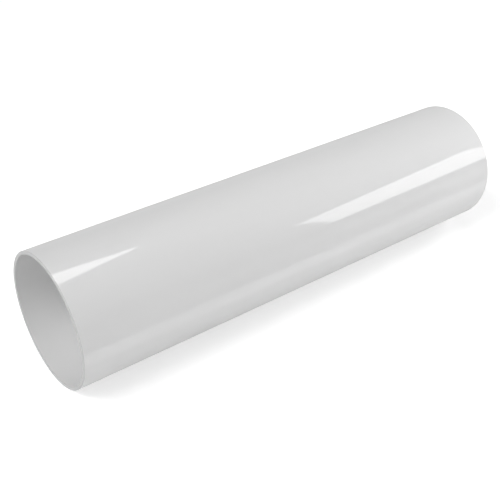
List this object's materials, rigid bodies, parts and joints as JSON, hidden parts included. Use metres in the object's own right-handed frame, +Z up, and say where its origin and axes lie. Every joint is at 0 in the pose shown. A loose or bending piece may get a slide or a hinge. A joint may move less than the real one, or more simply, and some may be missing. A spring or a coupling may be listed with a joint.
{
  "type": "pvc drain pipe",
  "caption": "Plain-ended round drain pipe of glossy white PVC, sawn square at both ends and open right through, for joining with socket fittings.",
  "frame": {"origin": "on the floor, below the middle of the pipe's length", "axes": "+X along the pipe, +Z up; the pipe lies on the floor and touches it along one line"},
  "size_m": [0.43, 0.11, 0.11],
  "materials": {
    "white_pvc": "gloss"
  },
  "bodies": {
    "root": {"drain_pipe": "white_pvc"}
  },
  "joints": []
}
